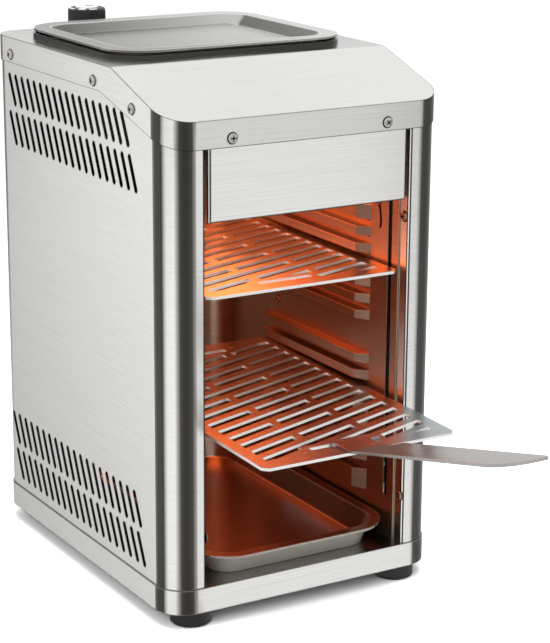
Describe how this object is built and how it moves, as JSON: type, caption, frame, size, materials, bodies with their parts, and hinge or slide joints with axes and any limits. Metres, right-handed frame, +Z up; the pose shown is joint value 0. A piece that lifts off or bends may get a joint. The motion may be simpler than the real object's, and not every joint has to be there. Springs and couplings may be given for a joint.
{
  "type": "top-heat steak grill",
  "caption": "Stainless table grill with a gas burner above, ramped runner walls, slotted grates, drip tray, tray on the hood, hook-in grate handle and rear control knob.",
  "frame": {"origin": "middle of the whole grill's box, on the surface its rubber feet stand on", "axes": "+X to the right seen from the open front, +Y from the front to the back, +Z up"},
  "size_m": [0.2748, 0.6758, 0.484],
  "materials": {
    "body_steel": "brushed",
    "liner_steel": "brushed, heat tinted",
    "burner_steel": "rolled",
    "grate_steel": "laser cut, satin",
    "handle_steel": "satin",
    "tray_steel": "pressed, satin",
    "screw_steel": "polished",
    "ceramic": "porous ceramic",
    "brass": "turned",
    "copper": "drawn copper",
    "rubber": "matte",
    "knob_plastic": "moulded",
    "cap_plastic": "printed"
  },
  "bodies": {
    "grill": {"base_pan": "body_steel", "left_side_panel": "body_steel", "right_side_panel": "body_steel", "rear_panel": "body_steel", "top_cover": "body_steel", "fascia_panel": "body_steel", "left_runner_wall": "liner_steel", "right_runner_wall": "liner_steel", "cavity_liner": "liner_steel", "tray_support": "liner_steel", "heat_shield": "liner_steel", "burner_brackets": "liner_steel", "valve_bracket": "liner_steel", "burner_housing": "burner_steel", "burner_frame": "burner_steel", "mixing_tube": "burner_steel", "foot_screws": "screw_steel", "cover_screws": "screw_steel", "jamb_screws": "screw_steel", "rear_screws": "screw_steel", "wall_screws": "screw_steel", "thermocouple": "screw_steel", "ceramic_plaques": "ceramic", "ignition_electrode": "ceramic", "gas_jet": "brass", "gas_valve": "brass", "gas_inlet": "brass", "gas_pipe": "copper", "rubber_feet": "rubber"},
    "upper_grate": {"upper_grate": "grate_steel"},
    "lower_grate": {"lower_grate": "grate_steel"},
    "grate_handle": {"grate_handle": "handle_steel"},
    "drip_tray": {"drip_tray": "tray_steel"},
    "top_tray": {"top_tray": "tray_steel"},
    "valve_spindle": {"valve_stem": "screw_steel"},
    "knob": {"control_knob": "knob_plastic", "knob_cap": "cap_plastic"}
  },
  "joints": [
    {"name": "upper_grate_slide", "type": "slide", "parent": "grill", "child": "upper_grate", "axis": [0, -1, 0], "range_m": [0, 0.2]},
    {"name": "lower_grate_slide", "type": "slide", "parent": "grill", "child": "lower_grate", "axis": [0, -0.9998, -0.0218], "range_m": [-0.09, 0.07]},
    {"name": "grate_handle_pull", "type": "slide", "parent": "lower_grate", "child": "grate_handle", "axis": [0, -0.342, 0.9397], "range_m": [0, 0.04]},
    {"name": "drip_tray_slide", "type": "slide", "parent": "grill", "child": "drip_tray", "axis": [0, -1, 0], "range_m": [0, 0.22]},
    {"name": "top_tray_lift", "type": "slide", "parent": "grill", "child": "top_tray", "axis": [0, 0, 1], "range_m": [0, 0.06]},
    {"name": "knob_turn", "type": "hinge", "parent": "grill", "child": "valve_spindle", "pos_m": [-0.027, 0.31943, 0.461], "axis": [0, 0, 1], "range_deg": [0, 210]},
    {"name": "knob_push", "type": "slide", "parent": "valve_spindle", "child": "knob", "axis": [0, 0, -1], "range_m": [0, 0.003], "stiffness_N_per_m": 2000}
  ]
}
